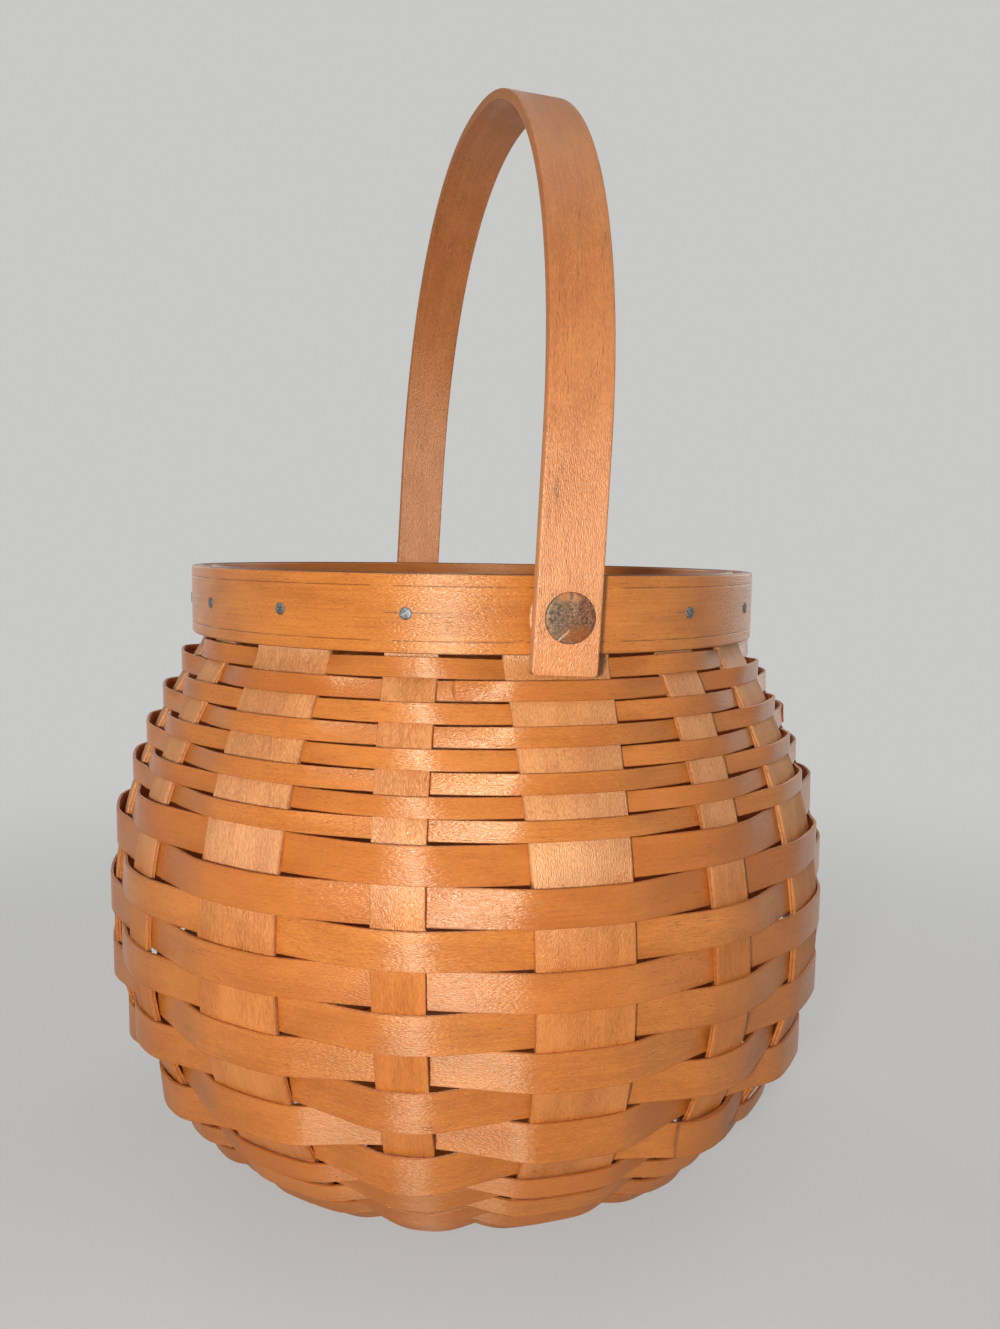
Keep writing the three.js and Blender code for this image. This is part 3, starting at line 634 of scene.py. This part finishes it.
def handleStrap():
    line = strapLine()
    # both feet end in quarter circles: the strap narrows there by corner * (1 - sqrt(1 - (1 - depth) ** 2))
    depth = np.clip((line[:, 1] + strap["belowPivot"]) / strap["footCorner"], 0, 1)
    narrowing = strap["footCorner"] * (1 - np.sqrt(np.maximum(0, 1 - (1 - depth) ** 2)))
    run = unit(np.gradient(line, axis=0))
    out = np.c_[-run[:, 1], run[:, 0]]
    section = roundedSection(strap["width"] / 2, strap["thick"], strap["edgeRadius"], strap["flats"],
                             strap["arc"])
    frontShare = np.linspace(1, 0, len(line)) ** strap["widerPower"]
    squeeze = 1 + (strap["frontFootWider"] * frontShare - 2 * narrowing) / strap["width"]
    offset = section[:, 1] - strap["thick"] / 2
    x = section[None, :, 0] * squeeze[:, None]
    y = line[:, :1] + out[:, :1] * offset
    z = line[:, 1:] + out[:, 1:] * offset
    lean = strap["lean"]
    grid = np.stack([x * cos(lean) + z * sin(lean), y, z * cos(lean) - x * sin(lean)], -1) + pivot
    skin("handle_strap", grid, False, np.append(runOf(line)[:-1], 0), runOf(section),
         stripMarks(section, strap["width"] / 2, strap["thick"], strap["seed"], strap["tone"]),
         handleWood, body="swing_handle", standsFor=["handle"])


handleStrap()
print("handle strap done")


# Rivets, washers and tacks

def turnedPiece(node, ending, profile, azimuth, height, steps, finish):
    # a profile of (radius, distance from the basket's axis) turned about a line that points outwards
    theta = np.linspace(0, 2 * pi, steps, endpoint=False)
    radius, reach = np.array(profile).T
    across, up = radius[:, None] * np.cos(theta), radius[:, None] * np.sin(theta)
    reach = np.broadcast_to(reach[:, None], across.shape)
    grid = np.stack([reach * sin(azimuth) + across * cos(azimuth),
                     -reach * cos(azimuth) + across * sin(azimuth), up + height], -1)
    closed = profile[0] == profile[-1]
    grid = grid[:-1] if closed else grid
    skin(node + ending, grid, closed, runOf(np.array(profile))[:len(grid) + 1],
         np.linspace(0, 2 * pi, steps + 1) * radius.max(), {"pieceSeed": 0.0}, finish, standsFor=[node])


rivet = {"headGrowth": 1.05, "steps": 96, "dome": 0.55 * mm, "headEdge": 0.45 * mm, "edgeSteps": 6,
         "crownSteps": 14, "tailSteps": 10, "lip": 0.15 * mm}
washer = {"steps": 64, "round": 0.45 * mm}
tack = {"radius": 2.05 * mm, "rise": 0.45 * mm, "side": 0.25 * mm, "seat": 0.1 * mm, "steps": 32,
        "shank": 0.6 * mm, "shankEnd": 2.4 * mm, "point": 3 * mm, "tip": 0.05 * mm,
        "down": 1.1 * mm, "offCentreShare": 0.4}


def rivetProfile(node):
    # sizes read off the solid, then the peened tail, the shank and the head with a rounded edge and a crown
    points = pointsOf(node)
    about, reach = aboutPivot(points), np.abs(points[:, 1])
    near, far, headRadius = reach.min(), reach.max(), about.max()
    close = 0.01 * mm
    headSeat = reach[about > headRadius - close].min()
    underHead = (reach < headSeat + close) & (reach > headSeat - 0.1 * mm) & (about > 0.1 * mm)
    shank = about[underHead].min()
    peenSeat = reach[(reach < headSeat - 4 * mm) & (np.abs(about - shank) < close)].min()
    peen = about[reach < peenSeat + close].max()
    headRadius *= rivet["headGrowth"]
    dome, edge, lip = rivet["dome"], rivet["headEdge"], rivet["lip"]
    bend = np.linspace(0, pi / 2, rivet["edgeSteps"])
    rounded = [(headRadius - edge * (1 - cos(t)), far - dome - edge * (1 - sin(t))) for t in bend]
    crown = [(headRadius * s, far - dome * s * s) for s in np.linspace(0.93, 0.001, rivet["crownSteps"])]
    tailTurn = np.linspace(0.01, pi / 2, rivet["tailSteps"])
    tail = [(peen * sin(t), peenSeat - (peenSeat - near) * cos(t)) for t in tailTurn]
    return tail + [(shank, peenSeat), (shank, headSeat), (headRadius - lip, headSeat),
                   (headRadius, headSeat + lip)] + rounded + crown


def washerProfile(node):  # a ring with its two outer edges cut back
    points = pointsOf(node)
    about, reach = aboutPivot(points), np.abs(points[:, 1])
    inner, outer, near, far = about.min(), about.max(), reach.min(), reach.max()
    r = washer["round"]
    return [(inner, near), (outer - r, near), (outer, near + r), (outer, far - r), (outer - r, far),
            (inner, far), (inner, near)]


for side, azimuth in (("front", 0.0), ("back", pi)):
    node = side + "_rivet"
    turnedPiece(node, "_head", rivetProfile(node), azimuth, pivot[2], rivet["steps"], copper)
    for kind, finish, slot in (("_spacer", spacerWood, "spacer_wood"), ("_burr", copper, "copper")):
        node = side + kind
        turnedPiece(node, "_ring", washerProfile(node), azimuth, pivot[2], washer["steps"], finish)

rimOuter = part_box("rim_outer_band")[1].x
base = rimOuter - tack["seat"]
tackProfile = [(tack["tip"], rimOuter - tack["point"]), (tack["shank"], rimOuter - tack["shankEnd"]),
               (tack["shank"], base), (tack["radius"], base), (tack["radius"], base + tack["side"]),
               (tack["radius"] * 0.94, base + tack["rise"] * 0.8),
               (tack["radius"] * 0.6, base + tack["rise"]), (tack["tip"], base + tack["rise"] * 1.05)]
for node in sorted(n for n in nodes if "tack" in n):
    low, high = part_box(node)
    middle = (low + high) / 2
    azimuth = np.arctan2(middle.x, -middle.y)
    offCentre = abs(azimuth / sector - round(azimuth / sector)) > 0.05  # beside an upright's middle
    azimuth += gatherTurn(azimuth, middle.z) * (tack["offCentreShare"] if offCentre else 1)
    turnedPiece(node, "_head", tackProfile, azimuth, middle.z - tack["down"], tack["steps"], steel)
print("rivets, washers and tacks done")


# Floor, light and camera

studio = {"floorRadius": 2.6, "floorSides": 96, "fadeFrom": 0.40, "fadeTo": 1.2,
          "floorColour": (0.64, 0.637, 0.63), "mottledBy": 0.97, "floorRough": 0.9,
          "behind": (0.58, 0.58, 0.57), "ownShare": 0.6, "ownFrom": 0.30, "ownTo": 0.85, "ambient": 0.205}


def backdropRays(tree):  # 1 for the camera's own rays and those it sends on through gloss and glass
    path = tree.nodes.new("ShaderNodeLightPath")
    total = path.outputs["Is Camera Ray"]
    for name in ("Is Glossy Ray", "Is Transmission Ray"):
        either = tree.nodes.new("ShaderNodeMath")
        either.operation, either.use_clamp = "ADD", True
        tree.links.new(total, either.inputs[0])
        tree.links.new(path.outputs[name], either.inputs[1])
        total = either.outputs[0]
    return total


def studioFloor():
    # a disc of paper that shows the backdrop's own colour more and more with distance, and then thins out,
    # so that it has no horizon
    ring = np.linspace(0, 2 * pi, studio["floorSides"], endpoint=False)
    outline = np.c_[np.cos(ring), np.sin(ring), np.zeros_like(ring)] * studio["floorRadius"]
    mesh = bpy.data.meshes.new("studio_floor")
    mesh.from_pydata(outline, [], [list(range(len(ring)))])
    board = Board("palePaper")
    spot = board.spot()
    second = tuple(c * studio["mottledBy"] for c in studio["floorColour"])
    colour = board.mix(board.noise(spot, 3.0, 2.0), studio["floorColour"], second)
    reach = board.add("ShaderNodeVectorMath", {"operation": "LENGTH"}, {0: spot}, out="Value")
    fade = reach.ramp(studio["fadeTo"], studio["fadeFrom"])
    mesh.materials.append(board.finish(Base_Color=colour, Roughness=studio["floorRough"]))
    paper = Wire(board, board.shader.outputs[0])
    own = board.add("ShaderNodeEmission", None, {"Color": studio["behind"]})
    ownShare = reach.ramp(studio["ownFrom"], studio["ownTo"]) * (1 - studio["ownShare"]) + studio["ownShare"]
    seen = Wire(board, backdropRays(board.tree)) * ownShare
    lit = board.add("ShaderNodeMixShader", None, {0: seen, 1: paper, 2: own})
    clear = board.add("ShaderNodeBsdfTransparent")
    faded = board.add("ShaderNodeMixShader", None, {0: fade, 1: clear, 2: lit})
    board.tree.links.new(faded.socket, board.tree.nodes["Material Output"].inputs["Surface"])
    floor = bpy.data.objects.new("studio_floor", mesh)
    bpy.context.scene.collection.objects.link(floor)


def studioWorld():  # plain white light on the object, and the backdrop's colour where it is seen
    world = bpy.data.worlds.new("studio")
    world.use_nodes = True
    bpy.context.scene.world = world
    tree = world.node_tree
    shade = tree.nodes["Background"]
    seen, mixed = tree.nodes.new("ShaderNodeBackground"), tree.nodes.new("ShaderNodeMixShader")
    shade.inputs["Color"].default_value = (1, 1, 1, 1)
    shade.inputs["Strength"].default_value = studio["ambient"]
    seen.inputs["Color"].default_value = studio["behind"] + (1,)
    tree.links.new(backdropRays(tree), mixed.inputs[0])
    tree.links.new(shade.outputs[0], mixed.inputs[1])
    tree.links.new(seen.outputs[0], mixed.inputs[2])
    tree.links.new(mixed.outputs[0], tree.nodes["World Output"].inputs["Surface"])


def stand(name, data, spot, right, up, back):  # a lamp or camera at a spot, looking away from back
    thing = bpy.data.objects.new(name, data)
    turn = Matrix((right, up, back)).transposed()
    thing.matrix_world = Matrix.Translation(spot) @ turn.to_4x4()
    bpy.context.scene.collection.objects.link(thing)
    return thing


def softLamp(name, azimuth, elevation, distance, size, power, beam=180, aim=(0, 0, 0.16)):
    light = bpy.data.lights.new(name, "AREA")
    light.shape, light.size, light.energy, light.spread = "DISK", size, power, radians(beam)
    a, e = radians(azimuth), radians(elevation)
    back = np.array([sin(a) * cos(e), -cos(a) * cos(e), sin(e)])
    right = unit(np.cross(upward, back))
    stand(name, light, np.array(aim) + back * distance, right, np.cross(back, right), back)


studioFloor()
studioWorld()
softLamp("key", azimuth=-25, elevation=12, distance=0.62, size=0.06, power=0.92, beam=104, aim=(0, 0, 0.125))
softLamp("fill", azimuth=50, elevation=22, distance=1.6, size=1.0, power=1.4)
softLamp("top", azimuth=20, elevation=80, distance=1.5, size=1.0, power=2.4)
softLamp("rearRight", azimuth=125, elevation=22, distance=1.7, size=0.9, power=6.0)
softLamp("rearLeft", azimuth=-162, elevation=24, distance=1.7, size=0.9, power=4.5)

shot = {"azimuth": radians(-14.75), "distance": 455.3 * mm, "aboveRim": 8.785 * mm,
        "pitch": radians(6.164), "pan": radians(1.442), "roll": radians(0.846),
        "focal": 1094.15, "frameHeight": 1329,  # both in the photo's pixels
        "sensor": 36.0, "clip": (0.01, 50)}


def photoCamera():
    data = bpy.data.cameras.new("camera")
    data.sensor_width = shot["sensor"]
    data.lens = shot["focal"] * shot["sensor"] / shot["frameHeight"]
    data.clip_start, data.clip_end = shot["clip"]
    a, heading, pitch, roll = shot["azimuth"], shot["pan"] - shot["azimuth"], shot["pitch"], shot["roll"]
    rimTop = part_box("rim_outer_band")[1].z
    forward = np.array([sin(heading) * cos(pitch), cos(heading) * cos(pitch), -sin(pitch)])
    level = np.array([cos(heading), -sin(heading), 0])
    over = np.cross(level, forward)
    spot = (shot["distance"] * sin(a), -shot["distance"] * cos(a), rimTop + shot["aboveRim"])
    bpy.context.scene.camera = stand("camera", data, spot, level * cos(roll) + over * sin(roll),
                                     over * cos(roll) - level * sin(roll), -forward)


photoCamera()
bpy.context.scene.view_settings.view_transform = "Standard"
